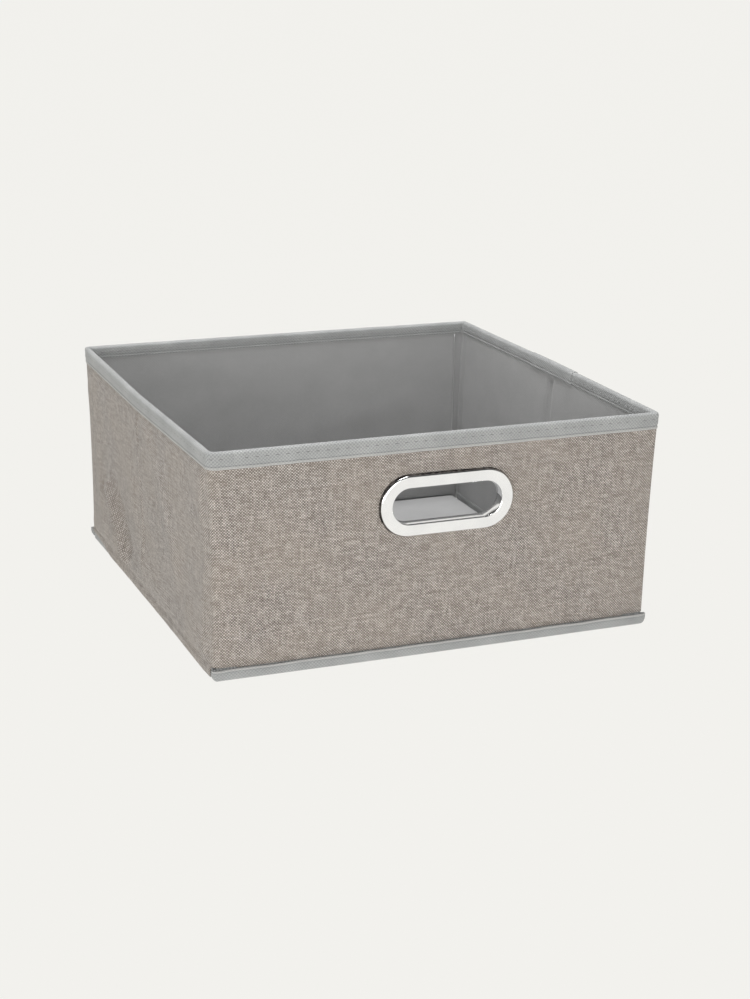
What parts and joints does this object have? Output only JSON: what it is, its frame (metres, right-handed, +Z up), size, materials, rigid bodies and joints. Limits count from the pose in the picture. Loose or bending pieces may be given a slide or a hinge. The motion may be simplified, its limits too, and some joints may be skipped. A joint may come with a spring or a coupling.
{
  "type": "fabric storage bin",
  "caption": "Half-height square fabric storage bin with stiffened folding walls, a lift-up base panel, bound edges and a metal-rimmed hand slot.",
  "frame": {"origin": "centre of the underside, on the surface the bin stands on", "axes": "+Z up; the front wall with the hand slot faces -Y; X runs across the front"},
  "size_m": [0.31, 0.3144, 0.15],
  "materials": {
    "outer_fabric": "melange taupe plain weave",
    "lining_fabric": "grey spunbonded non-woven",
    "binding_tape": "grey embossed non-woven tape",
    "thread": "grey sewing thread",
    "stiffener": "grey-brown board",
    "ring_metal": "polished"
  },
  "bodies": {
    "front": {"front_cover": "outer_fabric", "front_board": "stiffener", "front_lining": "lining_fabric", "front_rim_tape": "binding_tape", "front_rim_stitches": "thread", "handle_ring": "ring_metal", "handle_back_ring": "ring_metal", "bottom_cover": "lining_fabric", "front_bottom_tape": "binding_tape", "back_bottom_tape": "binding_tape", "left_bottom_tape": "binding_tape", "right_bottom_tape": "binding_tape", "front_seam_allowance": "outer_fabric", "back_seam_allowance": "outer_fabric", "left_seam_allowance": "outer_fabric", "right_seam_allowance": "outer_fabric"},
    "left_front": {"left_front_cover": "outer_fabric", "left_front_board": "stiffener", "left_front_lining": "lining_fabric", "left_front_rim_tape": "binding_tape", "left_front_rim_stitches": "thread"},
    "left_rear": {"left_rear_cover": "outer_fabric", "left_rear_board": "stiffener", "left_rear_lining": "lining_fabric", "left_rear_rim_tape": "binding_tape", "left_rear_rim_stitches": "thread"},
    "right_front": {"right_front_cover": "outer_fabric", "right_front_board": "stiffener", "right_front_lining": "lining_fabric", "right_front_rim_tape": "binding_tape", "right_front_rim_stitches": "thread", "right_front_tape_overlap": "binding_tape"},
    "right_rear": {"right_rear_cover": "outer_fabric", "right_rear_board": "stiffener", "right_rear_lining": "lining_fabric", "right_rear_rim_tape": "binding_tape", "right_rear_rim_stitches": "thread", "right_rear_tape_overlap": "binding_tape"},
    "back": {"back_cover": "outer_fabric", "back_board": "stiffener", "back_lining": "lining_fabric", "back_rim_tape": "binding_tape", "back_rim_stitches": "thread", "corner_seam_tape": "binding_tape"},
    "base_panel": {"base_bottom_skin": "lining_fabric", "base_board": "stiffener", "base_top_skin": "lining_fabric", "base_edge_tape": "lining_fabric"}
  },
  "joints": [
    {"name": "wall_fold", "type": "hinge", "parent": "front", "child": "left_front", "pos_m": [-0.15035, -0.14285, 0.079], "axis": [0, 0, -1], "range_deg": [0, 88.5]},
    {"name": "left_crease", "type": "hinge", "parent": "left_front", "child": "left_rear", "pos_m": [-0.16, 0, 0.079], "axis": [0, 0, 1], "range_deg": [0, 177]},
    {"name": "back_fold", "type": "hinge", "parent": "left_rear", "child": "back", "pos_m": [-0.15035, 0.14285, 0.079], "axis": [0, 0, -1], "range_deg": [0, 88.5]},
    {"name": "right_fold", "type": "hinge", "parent": "front", "child": "right_front", "pos_m": [0.15035, -0.14285, 0.079], "axis": [0, 0, 1], "range_deg": [0, 88.5]},
    {"name": "right_crease", "type": "hinge", "parent": "right_front", "child": "right_rear", "pos_m": [0.16, 0, 0.079], "axis": [0, 0, -1], "range_deg": [0, 177]},
    {"name": "base_lift", "type": "hinge", "parent": "front", "child": "base_panel", "pos_m": [0, -0.1482, 0.0052], "axis": [1, 0, 0], "range_deg": [0, 90]}
  ],
  "couplings": [
    {"joint": "left_crease", "follows": "wall_fold", "ratio": 2},
    {"joint": "back_fold", "follows": "wall_fold", "ratio": 1},
    {"joint": "right_fold", "follows": "wall_fold", "ratio": 1},
    {"joint": "right_crease", "follows": "wall_fold", "ratio": 2}
  ]
}
